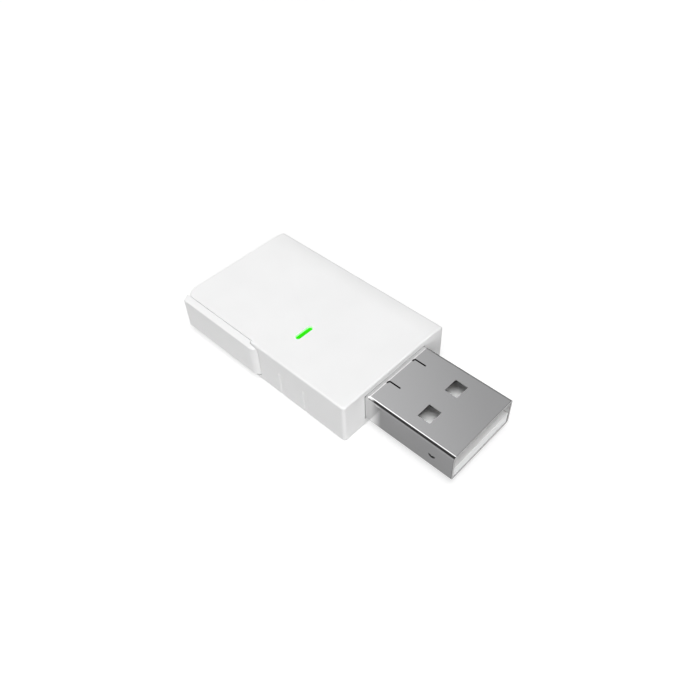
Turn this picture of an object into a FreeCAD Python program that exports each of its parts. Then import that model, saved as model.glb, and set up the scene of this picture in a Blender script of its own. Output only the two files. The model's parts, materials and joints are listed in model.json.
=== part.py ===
import FreeCAD, Part
import math
import os
import re
import Sketcher

# A white USB radio gateway stick: a moulded two-part housing with a long key in one side, an indicator
# slot on top, a populated circuit board inside and a folded steel USB-A plug on the front.
# Millimetres. +X points along the plug, +Z is up, and the origin is the middle of the underside.

# Driving sizes
SIZES = {
    # housing
    "housing_length": 31.9,
    "housing_width": 19.8,
    "housing_height": 6.7,
    "top_wall": 0.8,
    "side_wall": 1.2,
    "front_wall": 1.4,
    "near_rear_radius": 2.2,
    "near_front_radius": 0.5,
    "top_edge_radius": 0.25,
    "crown_width": 3.0,
    "crown_radius": 13.2,
    "far_edge_radius": 0.6,
    "lower_edge_radius": 0.2,
    # underside cover
    "base_thickness": 0.75,
    "seam_gap": 0.1,
    "seam_chamfer": 0.15,
    # two upright notches in the near wall
    "notch_width": 0.43,
    "notch_depth": 0.4,
    "notch_height": 4.3,
    "notch_spacing": 4.55,
    "notch_setback": 7.32,
    "catch_width": 3.2,
    "catch_thickness": 0.8,
    "catch_height": 2.9,
    "catch_nose": 0.4,
    "catch_nose_height": 0.9,
    "catch_gap": 0.1,
    # key in the near side
    "key_length": 15.25,
    "key_setback": 0.55,
    "key_floor": 1.05,
    "key_top_drop": 0.07,
    "key_proud": 0.55,
    "key_round": 1.55,
    "key_round_length": 1.15,
    "key_slope_rise": 0.78,
    "key_slope_run": 0.6,
    "key_thickness": 1.6,
    "key_gap": 0.08,
    "key_swing_gap": 0.3,
    "key_lip_depth": 0.25,
    "key_line_gap": 0.05,
    "key_pin_diameter": 0.6,
    "key_pin_gap": 0.05,
    "key_pin_inset": 1.75,
    "key_pin_drop": 0.55,
    "key_web_height": 0.7,
    "key_bearing_thickness": 0.8,
    "key_bearing_inset": 1.5,
    "key_nub_width": 2.2,
    "key_nub_height": 1.2,
    # indicator
    "slot_length": 3.05,
    "slot_width": 0.86,
    "slot_setback": 13.13,
    "slot_offset": 3.83,
    "light_pipe_gap": 0.05,
    "light_pipe_recess": 0.3,
    "light_pipe_flange": 0.5,
    "light_pipe_flange_height": 0.5,
    "led_length": 2.0,
    "led_width": 1.25,
    "led_height": 0.6,
    # board
    "board_thickness": 0.8,
    "board_side_gap": 1.25,
    "board_rear_gap": 0.5,
    "board_front_gap": 0.3,
    "post_diameter": 2.2,
    "post_inset": 1.7,
    "pin_diameter": 1.1,
    "pin_gap": 0.08,
    "cradle_wall": 0.8,
    "cradle_cheek": 0.6,
    "cradle_inset": 0.3,
    # plug
    "plug_width": 12.0,
    "plug_height": 4.5,
    "plug_reach": 14.0,
    "plug_length": 18.25,
    "plug_rise": 0.12,
    "plug_gap": 0.05,
    "shell_thickness": 0.3,
    "shell_corner": 0.4,
    "shell_seam": 0.06,
    "window_length": 1.93,
    "window_width": 2.3,
    "window_setback": 5.3,
    "window_spacing": 5.4,
    "jslit_width": 0.24,
    "jslit_length": 2.0,
    "jslit_hook": 0.57,
    "jslit_setback": 0.45,
    "jslit_spacing": 5.1,
    "jslit_middle": 0.68,
    "crescent_width": 0.77,
    "crescent_thickness": 0.22,
    "crescent_setback": 3.15,
    "crescent_drop": 2.15,
    "ear_length": 2.0,
    "ear_reach": 1.4,
    "tongue_height": 1.65,
    "tongue_side_gap": 0.05,
    "contact_cover_setback": 5.0,
    "contact_cover_height": 0.25,
    "tongue_setback": 0.1,
    "block_length": 5.5,
    "contact_width": 1.0,
    "contact_thickness": 0.25,
    "contact_proud": 0.05,
    "contact_gap": 0.05,
    "power_setback": 2.6,
    "signal_setback": 3.6,
    "inner_pitch": 2.0,
    "outer_pitch": 7.0,
    "contact_tail": 1.6,
    "contact_nose": 0.15,
    # radio section
    "shield_height": 1.6,
    "shield_thickness": 0.2,
    "shield_corner": 0.6,
    "shield_room": 0.45,
    "chip_gap": 0.3,
    "radio_side": 5.0,
    "radio_height": 0.85,
    "flash_length": 2.0,
    "flash_width": 3.0,
    "flash_height": 0.6,
    "crystal_length": 2.5,
    "crystal_width": 2.0,
    "crystal_height": 0.55,
    "antenna_inset": 0.7,
    "antenna_length": 2.0,
    "antenna_width": 7.0,
    "antenna_height": 1.1,
    # supply section
    "regulator_length": 1.6,
    "regulator_width": 2.9,
    "regulator_height": 1.1,
    "regulator_lead": 0.6,
    "inductor_side": 2.5,
    "inductor_height": 1.2,
    "esd_length": 1.6,
    "esd_width": 1.45,
    "esd_height": 1.0,
    "capacitor_length": 1.6,
    "capacitor_width": 0.8,
    "supply_setback": 4.2,
    "filter_setback": 7.0,
    "filter_pitch": 2.0,
    "filter_inset": 3.7,
    "esd_inset": 1.7,
    "far_row_inset": 0.9,
    "far_row_pitch": 1.8,
    "near_row_inset": 1.1,
    "near_row_pitch": 1.2,
    "lamp_row_setback": 2.2,
    "lamp_row_pitch": 1.4,
    "resistor_length": 1.0,
    "resistor_width": 0.5,
    "resistor_height": 0.35,
    # switch behind the key
    "switch_length": 4.2,
    "switch_depth": 2.4,
    "switch_height": 1.5,
    "switch_setback": 0.2,
    "switch_frame_thickness": 0.12,
    "switch_frame_foot": 0.6,
    "plunger_width": 1.6,
    "plunger_height": 0.7,
    "plunger_reach": 0.55,
    "plunger_depth": 0.8,
    "plunger_gap": 0.06,
    "dome_gap": 0.25,
    "dome_thickness": 0.1,
    "dome_bow": 0.3,
}

# Places worked out from the sizes above
PLACES = {
    "front": "housing_length / 2",
    "rear": "-housing_length / 2",
    "near": "-housing_width / 2",
    "far": "housing_width / 2",
    "ceiling": "housing_height - top_wall",
    # far edge of the top: sine and cosine of the angle at which its two rounds meet
    "crown_lean": "(crown_width - far_edge_radius) / (crown_radius - far_edge_radius)",
    "crown_level": "sqrt(1 - crown_lean * crown_lean)",
    "meet_y": "far - crown_width + crown_radius * crown_lean",
    "bend_z": "housing_height - crown_radius + (crown_radius - far_edge_radius) * crown_level",
    # key
    "key_rear": "rear + key_setback",
    "key_front": "key_rear + key_length",
    "key_flat_end": "key_front - key_round_length",
    "key_face": "near - key_proud",
    "key_top": "housing_height - key_top_drop",
    "key_inner": "key_face + key_thickness",
    "key_plate_top": "ceiling - key_gap",
    "key_axis_y": "near + key_pin_inset",
    "key_axis_z": "ceiling - key_pin_drop",
    "key_nub_tip": "plunger_tip - plunger_gap",
    # notches
    "notch_front_x": "front - notch_setback",
    "notch_rear_x": "notch_front_x - notch_spacing",
    "catch_x": "notch_front_x - notch_spacing / 2",
    # indicator
    "slot_x": "front - slot_setback",
    "slot_y": "-slot_offset",
    # plug
    "plug_floor": "(housing_height - plug_height) / 2 + plug_rise",
    "plug_tip": "front + plug_reach",
    "plug_tail": "plug_tip - plug_length",
    "plug_top": "plug_floor + plug_height",
    "plug_half": "plug_width / 2",
    "shell_floor": "plug_floor + shell_thickness",
    "shell_ceiling": "plug_top - shell_thickness",
    "tongue_top": "shell_floor + tongue_height",
    "block_front": "plug_tail + block_length",
    "contact_floor": "tongue_top + contact_proud - contact_thickness",
    # board, carried at the height of the contacts' solder tails
    "board_top": "contact_floor",
    "board_floor": "board_top - board_thickness",
    "board_rear": "rear + side_wall + board_rear_gap",
    "board_front": "front - front_wall - board_front_gap",
    "board_half": "far - side_wall - board_side_gap",
    "notch_rear": "plug_tail - board_front_gap",
    # radio section, from the lamp's resistors towards the rear
    "shield_length": "radio_side + chip_gap + flash_length + 2 * (shield_thickness + shield_room)",
    "shield_width": "radio_side + chip_gap + crystal_width + 2 * (shield_thickness + shield_room)",
    "shield_front": "slot_x - lamp_row_setback - resistor_width / 2 - chip_gap",
    "shield_x": "shield_front - shield_length / 2",
    "shield_far": "board_half - far_row_inset - capacitor_width / 2 - chip_gap",
    "shield_y": "shield_far - shield_width / 2",
    "radio_x": "shield_front - shield_thickness - shield_room - radio_side / 2",
    "radio_y": "shield_y - shield_width / 2 + shield_thickness + shield_room + radio_side / 2",
    "flash_x": "radio_x - radio_side / 2 - chip_gap - flash_length / 2",
    "flash_y": "radio_y - radio_side / 2 + flash_width / 2",
    "crystal_x": "flash_x - flash_length / 2 + crystal_length / 2",
    "crystal_y": "radio_y + radio_side / 2 + chip_gap + crystal_width / 2",
    # supply section, from the plug towards the rear
    "supply_x": "notch_rear - supply_setback",
    "esd_y": "board_half - esd_inset",
    "regulator_y": "esd_y - esd_width / 2 - chip_gap - regulator_width / 2",
    "inductor_y": "regulator_y - regulator_width / 2 - chip_gap - inductor_side / 2",
    "pull_y": "inductor_y - inductor_side / 2 - chip_gap - resistor_width / 2",
    "filter_x": "notch_rear - filter_setback",
    # switch
    "switch_x": "key_rear + key_length / 2",
    "switch_front": "-board_half + switch_setback",
    "plunger_tip": "switch_front - plunger_reach",
    "plunger_z": "board_top + switch_height / 2",
}

WORD = re.compile(r"[a-z][a-z0-9_]*")


def bound(formula):
    """The formula with every name replaced by its cell in the sheet."""
    def swap(match):
        word = match.group()
        if word in SIZES:
            return "Sizes." + word
        if word in PLACES:
            return "(" + bound(PLACES[word]) + ")"
        return word
    return WORD.sub(swap, formula)


doc = FreeCAD.newDocument("usb_bluetooth_gateway")
sheet = doc.addObject("Spreadsheet::Sheet", "Sizes")
for row, (alias, number) in enumerate(SIZES.items(), start=1):
    sheet.set("A%d" % row, alias)
    sheet.set("B%d" % row, str(number))
    sheet.setAlias("B%d" % row, alias)
doc.recompute()

NODES = []


def value(formula):
    """The number that a formula gives now."""
    return float(sheet.evalExpression(bound(formula)))


def node(item, label):
    """Name a finished piece and list it for writing."""
    item.Label = label
    NODES.append(item)
    return item


# Sketched bodies

def new_body(label):
    return node(doc.addObject("PartDesign::Body", label), label)


def sketch_on(body, role, offset="0"):
    """A sketch on one of the body's origin planes, moved along that plane's normal."""
    sketch = body.newObject("Sketcher::SketchObject", body.Label + "_sketch")
    plane = next(item for item in body.Origin.OriginFeatures if item.Role == role)
    sketch.AttachmentSupport = [(plane, "")]
    sketch.MapMode = "FlatFace"
    sketch.setExpression("AttachmentOffset.Base.z", bound(offset))
    return sketch


def tie(sketch, kind, geometry, point, formula):
    """Hold one end point's distance from the sketch's origin to a formula."""
    index = sketch.addConstraint(Sketcher.Constraint(kind, -1, 1, geometry, point, value(formula)))
    sketch.renameConstraint(index, "size_%d" % index)
    sketch.setExpression("Constraints.size_%d" % index, bound(formula))


def polygon(sketch, corners):
    """A closed outline of straight lines; each corner is a pair of formulas."""
    first = sketch.GeometryCount
    count = len(corners)
    points = [FreeCAD.Vector(value(across), value(up), 0) for across, up in corners]
    for i in range(count):
        sketch.addGeometry(Part.LineSegment(points[i], points[(i + 1) % count]), False)
    for i in range(count):
        here, following = first + i, first + (i + 1) % count
        sketch.addConstraint(Sketcher.Constraint("Coincident", here, 2, following, 1))
    for i, (across, up) in enumerate(corners):
        tie(sketch, "DistanceX", first + i, 1, across)
        tie(sketch, "DistanceY", first + i, 1, up)


def rectangle(sketch, left, right, low, high):
    polygon(sketch, [(left, low), (right, low), (right, high), (left, high)])


def circle(sketch, across, up, radius, arc=None):
    """A circle, or the arc of it between two angles."""
    centre = FreeCAD.Vector(value(across), value(up), 0)
    shape = Part.Circle(centre, FreeCAD.Vector(0, 0, 1), value(radius))
    index = sketch.addGeometry(Part.ArcOfCircle(shape, *arc) if arc else shape, False)
    tie(sketch, "DistanceX", index, 3, across)
    tie(sketch, "DistanceY", index, 3, up)
    size = sketch.addConstraint(Sketcher.Constraint("Radius", index, value(radius)))
    sketch.renameConstraint(size, "size_%d" % size)
    sketch.setExpression("Constraints.size_%d" % size, bound(radius))
    return index


def slot_outline(sketch, across, up, half_straight, radius):
    """A slot along the sketch's second axis: two straight sides and two half-round ends."""
    x, y, straight, r = value(across), value(up), value(half_straight), value(radius)
    normal = FreeCAD.Vector(0, 0, 1)
    upper = Part.ArcOfCircle(Part.Circle(FreeCAD.Vector(x, y + straight, 0), normal, r), 0, math.pi)
    lower = Part.ArcOfCircle(Part.Circle(FreeCAD.Vector(x, y - straight, 0), normal, r), -math.pi, 0)
    left = Part.LineSegment(FreeCAD.Vector(x - r, y + straight, 0), FreeCAD.Vector(x - r, y - straight, 0))
    right = Part.LineSegment(FreeCAD.Vector(x + r, y - straight, 0), FreeCAD.Vector(x + r, y + straight, 0))
    first = sketch.GeometryCount
    for shape in (upper, left, lower, right):
        sketch.addGeometry(shape, False)
    for i in range(4):
        here, following = first + i, first + (i + 1) % 4
        sketch.addConstraint(Sketcher.Constraint("Tangent", here, 2, following, 1))
    tie(sketch, "DistanceX", first, 3, across)
    tie(sketch, "DistanceY", first, 3, "%s + %s" % (up, half_straight))
    tie(sketch, "DistanceX", first + 2, 3, across)
    tie(sketch, "DistanceY", first + 2, 3, "%s - %s" % (up, half_straight))
    size = sketch.addConstraint(Sketcher.Constraint("Radius", first, value(radius)))
    sketch.renameConstraint(size, "size_%d" % size)
    sketch.setExpression("Constraints.size_%d" % size, bound(radius))


def pad(body, sketch, length, backwards=False):
    feature = body.newObject("PartDesign::Pad", body.Label + "_pad")
    feature.Profile = sketch
    feature.Reversed = backwards
    feature.setExpression("Length", bound(length))
    doc.recompute()
    return feature


def pocket(body, sketch, depth, along_normal=False):
    """Cut against the sketch's normal, or along it."""
    before = body.Shape.Volume
    feature = body.newObject("PartDesign::Pocket", body.Label + "_pocket")
    feature.Profile = sketch
    feature.Reversed = along_normal
    feature.setExpression("Length", bound(depth))
    doc.recompute()
    if body.Shape.Volume >= before:
        raise RuntimeError("a pocket in %s cuts nothing" % body.Label)
    return feature


def edges_inside(shape, low, high):
    """Names of the edges that lie inside a box of formulas, grown by a hair."""
    hair = 1e-4
    low = [value(formula) - hair for formula in low]
    high = [value(formula) + hair for formula in high]
    names = []
    for index, edge in enumerate(shape.Edges, start=1):
        box = edge.BoundBox
        least = (box.XMin, box.YMin, box.ZMin)
        most = (box.XMax, box.YMax, box.ZMax)
        if all(a >= b for a, b in zip(least, low)) and all(a <= b for a, b in zip(most, high)):
            names.append("Edge%d" % index)
    if not names:
        raise RuntimeError("no edge found")
    return names


def fillet(body, low, high, radius, others=()):
    """Round the edges inside a box, together with those inside any other boxes."""
    base = body.Tip
    names = []
    for corners in ((low, high), *others):
        names += edges_inside(base.Shape, *corners)
    feature = body.newObject("PartDesign::Fillet", body.Label + "_fillet")
    feature.Base = (base, names)
    feature.setExpression("Radius", bound(radius))
    doc.recompute()
    return feature


def chamfer(body, low, high, size, second=None, flip=False):
    base = body.Tip
    feature = body.newObject("PartDesign::Chamfer", body.Label + "_chamfer")
    feature.Base = (base, edges_inside(base.Shape, low, high))
    feature.setExpression("Size", bound(size))
    if second:
        feature.ChamferType = "Two distances"
        feature.setExpression("Size2", bound(second))
        feature.FlipDirection = flip
    doc.recompute()
    return feature


def upright_edge(body, x, y, radius):
    """Round the upright outer edge that stands at one plan corner."""
    fillet(body, (x, y, "0"), (x, y, "housing_height"), radius)


# Plain solids and booleans

def box(name, x, y, z):
    """A block between three pairs of formulas."""
    item = doc.addObject("Part::Box", name)
    for side, (low, high) in zip(("Length", "Width", "Height"), (x, y, z)):
        item.setExpression(side, bound("(%s) - (%s)" % (high, low)))
    for axis, (low, high) in zip("xyz", (x, y, z)):
        item.setExpression("Placement.Base." + axis, bound(low))
    return item


def block(name, middle_x, middle_y, floor, length, width, height):
    """A block given by its plan centre, floor and size."""
    spans = []
    for middle, extent in ((middle_x, length), (middle_y, width)):
        spans.append(("%s - (%s) / 2" % (middle, extent), "%s + (%s) / 2" % (middle, extent)))
    return box(name, spans[0], spans[1], (floor, "%s + %s" % (floor, height)))


def joined(name, pieces):
    item = doc.addObject("Part::MultiFuse", name)
    item.Shapes = pieces
    return item


def without(name, base, tool):
    item = doc.addObject("Part::Cut", name)
    item.Base = base
    item.Tool = tool
    return item


def crown_outline(sketch):
    """What the top loses towards its far edge: a slow arc that falls away, then a tighter round."""
    lean = math.asin(value("crown_lean"))
    rounds = (("far - crown_width", "housing_height - crown_radius", "crown_radius",
               math.pi / 2 - lean, math.pi / 2, ("meet_y", "far - crown_width")),
              ("far - far_edge_radius", "bend_z", "far_edge_radius", 0, math.pi / 2 - lean, (None, "meet_y")))
    for across, up, radius, start, end, stops in rounds:
        index = circle(sketch, across, up, radius, (start, end))
        for point, stop in enumerate(stops, start=1):
            if stop:
                tie(sketch, "DistanceX", index, point, stop)
            else:
                tie(sketch, "DistanceY", index, point, up)
    outside, above = "far + side_wall", "housing_height + top_wall"
    corners = [("far", "bend_z"), (outside, "bend_z"), (outside, above), ("far - crown_width", above),
               ("far - crown_width", "housing_height")]
    for (y0, z0), (y1, z1) in zip(corners, corners[1:]):
        ends = [FreeCAD.Vector(value(y), value(z), 0) for y, z in ((y0, z0), (y1, z1))]
        index = sketch.addGeometry(Part.LineSegment(*ends), False)
        for point, (y, z) in enumerate(((y0, z0), (y1, z1)), start=1):
            tie(sketch, "DistanceX", index, point, y)
            tie(sketch, "DistanceY", index, point, z)


def top_cover():
    """Top and four walls in one moulding, open below."""
    body = new_body("top_cover")
    outline = sketch_on(body, "XY_Plane")
    rectangle(outline, "rear", "front", "near", "far")
    pad(body, outline, "housing_height")
    upright_edge(body, "rear", "near", "near_rear_radius")
    upright_edge(body, "front", "near", "near_front_radius")
    crown = sketch_on(body, "YZ_Plane", "rear")
    crown_outline(crown)
    pocket(body, crown, "housing_length", along_normal=True)
    low, high = ("rear", "near", "housing_height"), ("front", "near + near_rear_radius", "housing_height")
    ends = []
    for x in ("rear", "front"):
        ends.append(((x, "near", "bend_z"), (x, "far", "housing_height")))
        ends.append(((x, "far", "0"), (x, "far", "bend_z")))
    fillet(body, low, high, "top_edge_radius", ends)
    fillet(body, ("rear", "near", "0"), ("front", "far", "0"), "lower_edge_radius")

    # hollow, with the thick rounded corner followed inside
    hollow = sketch_on(body, "XY_Plane")
    rectangle(hollow, "rear + side_wall", "front - front_wall", "near + side_wall", "far - side_wall")
    pocket(body, hollow, "ceiling", along_normal=True)
    inner_corner = ("rear + side_wall", "near + side_wall")
    fillet(body, inner_corner + ("0",), inner_corner + ("ceiling",), "near_rear_radius - side_wall")

    # plug hole through the front wall and on over the shell's tail
    hole = sketch_on(body, "YZ_Plane", "front")
    hole_side, hole_low, hole_high = "plug_half + plug_gap", "plug_floor - plug_gap", "plug_top + plug_gap"
    rectangle(hole, "-(%s)" % hole_side, hole_side, hole_low, hole_high)
    pocket(body, hole, "front - plug_tail + plug_gap")

    # window for the key through the near wall, and a rebate above it for the key's upper lip
    window = sketch_on(body, "XZ_Plane", "-(near)")
    rectangle(window, "key_rear - key_gap", "key_front + key_gap", "key_floor - key_swing_gap", "ceiling")
    pocket(body, window, "side_wall + 1.5 * key_swing_gap")
    rebate = sketch_on(body, "XZ_Plane", "-(near)")
    rectangle(rebate, "key_rear - key_gap", "key_flat_end", "ceiling - key_gap", "housing_height")
    pocket(body, rebate, "key_lip_depth + key_line_gap")

    # two notches, each with a slanted rear side and a square front side
    notches = sketch_on(body, "XY_Plane", "0")
    for middle in ("notch_rear_x", "notch_front_x"):
        back, ahead = middle + " - notch_width / 2", middle + " + notch_width / 2"
        polygon(notches, [(back, "near"), (ahead, "near"), (ahead, "near + notch_depth")])
    pocket(body, notches, "notch_height", along_normal=True)

    # indicator slot through the top
    slot = sketch_on(body, "XY_Plane", "housing_height")
    slot_outline(slot, "slot_x", "slot_y", "(slot_length - slot_width) / 2", "slot_width / 2")
    pocket(body, slot, "top_wall + light_pipe_gap")

    # recesses inside both long walls for the underside cover's catches
    for side, wall in (("near", "near + side_wall"), ("far", "far - side_wall")):
        recess = sketch_on(body, "XZ_Plane", "-(%s)" % wall)
        half = "catch_width / 2 + catch_gap"
        low = "base_thickness + catch_height - catch_nose_height - catch_gap"
        high = "base_thickness + catch_height + catch_gap"
        rectangle(recess, "catch_x - (%s)" % half, "catch_x + %s" % half, low, high)
        pocket(body, recess, "catch_nose + catch_gap", along_normal=side == "near")

    # two bearing brackets under the ceiling for the key's pins
    last = "key_flat_end - key_bearing_inset - key_bearing_thickness"
    for place in ("key_rear + key_bearing_inset", last):
        bracket = sketch_on(body, "YZ_Plane", place)
        across = ("key_axis_y - 0.45 * key_web_height", "key_axis_y + key_web_height")
        foot = "key_axis_z - key_web_height"
        rectangle(bracket, across[0], across[1], foot, "ceiling + top_wall / 4")
        pad(body, bracket, "key_bearing_thickness")
        bearing = sketch_on(body, "YZ_Plane", place)
        circle(bearing, "key_axis_y", "key_axis_z", "key_pin_diameter / 2 + key_pin_gap")
        pocket(body, bearing, "key_bearing_thickness", along_normal=True)
    return body


def base_cover():
    """Flat underside set between the walls, with posts, pins, a plug cradle and two catches."""
    body = new_body("base_cover")
    plate = sketch_on(body, "XY_Plane")
    inner = "side_wall + seam_gap"
    left, right = "rear + " + inner, "front - front_wall - seam_gap"
    low, high = "near + " + inner, "far - (%s)" % inner
    rectangle(plate, left, right, low, high)
    pad(body, plate, "base_thickness")
    fillet(body, (left, low, "0"), (left, low, "base_thickness"), "near_rear_radius - side_wall")
    chamfer(body, (left, low, "0"), (right, high, "0"), "seam_chamfer")

    # four posts under the board, two of them with a locating pin
    posts = sketch_on(body, "XY_Plane", "base_thickness")
    for x in ("board_rear + post_inset", "notch_rear - post_inset"):
        for y in ("-board_half + post_inset", "board_half - post_inset"):
            circle(posts, x, y, "post_diameter / 2")
    pad(body, posts, "board_floor - base_thickness")
    pins = sketch_on(body, "XY_Plane", "board_floor")
    for x, y in board_pins():
        circle(pins, x, y, "pin_diameter / 2")
    pad(body, pins, "board_thickness + pin_diameter / 4")

    # trough that carries the rear of the plug's shell between two cheeks
    cradle = sketch_on(body, "XY_Plane")
    cheek = "plug_half + plug_gap + cradle_wall"
    cradle_front = "front - front_wall - 2 * seam_gap"
    rectangle(cradle, "plug_tail + cradle_inset", cradle_front, "-(%s)" % cheek, cheek)
    pad(body, cradle, "plug_floor + cradle_cheek")
    trough = sketch_on(body, "YZ_Plane", right)
    side = "plug_half + plug_gap"
    rectangle(trough, "-(%s)" % side, side, "plug_floor", "plug_top + plug_gap")
    pocket(body, trough, "(%s) - plug_tail + plug_gap" % right)

    # catches that hook into both long walls
    for turn, wall in (("1", "near + side_wall"), ("-1", "far - side_wall")):
        catch = sketch_on(body, "YZ_Plane", "catch_x - catch_width / 2")
        face = "%s + %s * catch_gap" % (wall, turn)
        back = "%s + %s * catch_thickness" % (face, turn)
        nose = "%s - %s * catch_nose" % (face, turn)
        top = "base_thickness + catch_height"
        polygon(catch, [(back, "base_thickness"), (face, "base_thickness"),
                        (face, top + " - catch_nose_height"), (nose, top + " - catch_nose_height"),
                        (nose, top + " - catch_nose_height / 2"), (face, top), (back, top)])
        pad(body, catch, "catch_width")
    return body


def side_button():
    """Long key: flat outer face, rounded front end, sloped upper side, and two pins to rock on."""
    body = new_body("side_button")
    profile = sketch_on(body, "XY_Plane", "key_floor")
    key_outline(profile)
    pad(body, profile, "key_top - key_floor")
    slope_low = ("key_rear", "key_face", "key_top")
    slope_high = ("key_front", "near", "key_top")
    chamfer(body, slope_low, slope_high, "key_slope_rise", "key_slope_run", flip=True)

    # step that lets the upper lip lie over the housing's edge while the plate stays in the window
    lip = sketch_on(body, "XY_Plane", "key_top")
    back = "key_inner + key_gap"
    rectangle(lip, "key_rear - key_gap", "key_flat_end - key_gap", "near + key_lip_depth", back)
    pocket(body, lip, "key_top - key_plate_top")
    end = sketch_on(body, "XY_Plane", "key_top")
    rectangle(end, "key_flat_end - 2 * key_gap", "key_front + key_gap", "near - key_gap", back)
    pocket(body, end, "key_top - key_plate_top")

    # web behind the plate, with a pin at each end
    first = "key_rear + key_bearing_inset + key_bearing_thickness + key_gap"
    last = "key_flat_end - key_bearing_inset - key_bearing_thickness - key_gap"
    web = sketch_on(body, "YZ_Plane", first)
    half = "key_web_height / 2"
    rectangle(web, "key_inner - key_gap", "key_axis_y + " + half,
              "key_axis_z - " + half, "key_axis_z + " + half)
    pad(body, web, "(%s) - (%s)" % (last, first))
    pins = sketch_on(body, "YZ_Plane", "key_rear + key_bearing_inset - key_gap")
    circle(pins, "key_axis_y", "key_axis_z", "key_pin_diameter / 2")
    pad(body, pins, "(%s) - (%s) + 2 * (key_bearing_thickness + 2 * key_gap)" % (last, first))

    # nub that meets the switch's plunger
    nub = sketch_on(body, "XZ_Plane", "-(key_nub_tip)")
    rectangle(nub, "switch_x - key_nub_width / 2", "switch_x + key_nub_width / 2",
              "plunger_z - key_nub_height / 2", "plunger_z + key_nub_height / 2")
    pad(body, nub, "(key_nub_tip) - (key_inner) + key_gap")
    return body


def key_outline(sketch):
    """Plan outline of the key: straight, with an arc from the outer face to the wall at its front end."""
    x = {name: value(name) for name in ("key_rear", "key_flat_end", "key_front")}
    face, wall, inner = value("key_face"), value("near"), value("key_inner")
    r = value("key_round")
    centre = FreeCAD.Vector(x["key_flat_end"], face + r, 0)
    sweep = math.asin((x["key_front"] - x["key_flat_end"]) / r)
    corners = [FreeCAD.Vector(x["key_rear"], face, 0), FreeCAD.Vector(x["key_flat_end"], face, 0),
               FreeCAD.Vector(x["key_front"], wall, 0), FreeCAD.Vector(x["key_front"], inner, 0),
               FreeCAD.Vector(x["key_rear"], inner, 0)]
    sketch.addGeometry(Part.LineSegment(corners[0], corners[1]), False)
    arc = Part.Circle(centre, FreeCAD.Vector(0, 0, 1), r)
    sketch.addGeometry(Part.ArcOfCircle(arc, -math.pi / 2, -math.pi / 2 + sweep), False)
    sketch.addGeometry(Part.LineSegment(corners[2], corners[3]), False)
    sketch.addGeometry(Part.LineSegment(corners[3], corners[4]), False)
    sketch.addGeometry(Part.LineSegment(corners[4], corners[0]), False)
    sketch.addConstraint(Sketcher.Constraint("Tangent", 0, 2, 1, 1))
    for i in range(1, 5):
        sketch.addConstraint(Sketcher.Constraint("Coincident", i, 2, (i + 1) % 5, 1))
    for geometry, kind in ((0, "Horizontal"), (2, "Vertical"), (3, "Horizontal"), (4, "Vertical")):
        sketch.addConstraint(Sketcher.Constraint(kind, geometry))
    tie(sketch, "DistanceX", 0, 1, "key_rear")
    tie(sketch, "DistanceY", 0, 1, "key_face")
    tie(sketch, "DistanceX", 0, 2, "key_flat_end")
    tie(sketch, "DistanceX", 2, 1, "key_front")
    tie(sketch, "DistanceY", 2, 1, "near")
    tie(sketch, "DistanceY", 3, 1, "key_inner")


def light_pipe():
    """Clear bar in the slot, with a flange under the ceiling and a stem down to the lamp."""
    body = new_body("light_pipe")
    straight, radius = "(slot_length - slot_width) / 2", "slot_width / 2 - light_pipe_gap"
    flange_top = sketch_on(body, "XY_Plane", "ceiling")
    slot_outline(flange_top, "slot_x", "slot_y", straight, "slot_width / 2 + light_pipe_flange")
    pad(body, flange_top, "light_pipe_flange_height", backwards=True)
    bar = sketch_on(body, "XY_Plane", "ceiling")
    slot_outline(bar, "slot_x", "slot_y", straight, radius)
    pad(body, bar, "top_wall - light_pipe_recess")
    stem = sketch_on(body, "XY_Plane", "ceiling - light_pipe_flange_height")
    slot_outline(stem, "slot_x", "slot_y", "led_length / 2 - (%s)" % radius, radius)
    stem_length = "ceiling - light_pipe_flange_height - board_top - led_height - light_pipe_gap"
    pad(body, stem, stem_length, backwards=True)
    return body


def board_pins():
    """Plan places of the two locating pins."""
    return (("board_rear + post_inset", "board_half - post_inset"),
            ("notch_rear - post_inset", "-board_half + post_inset"))


def circuit_board():
    """Thin board with a notch around the plug's tail and two locating holes."""
    body = new_body("circuit_board")
    outline = sketch_on(body, "XY_Plane", "board_floor")
    notch = "plug_half + plug_gap"
    polygon(outline, [("board_rear", "-board_half"), ("board_front", "-board_half"),
                      ("board_front", "-(%s)" % notch), ("notch_rear", "-(%s)" % notch),
                      ("notch_rear", notch), ("board_front", notch),
                      ("board_front", "board_half"), ("board_rear", "board_half")])
    pad(body, outline, "board_thickness")
    holes = sketch_on(body, "XY_Plane", "board_top")
    for x, y in board_pins():
        circle(holes, x, y, "pin_diameter / 2 + pin_gap")
    pocket(body, holes, "board_thickness")
    return body


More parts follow.
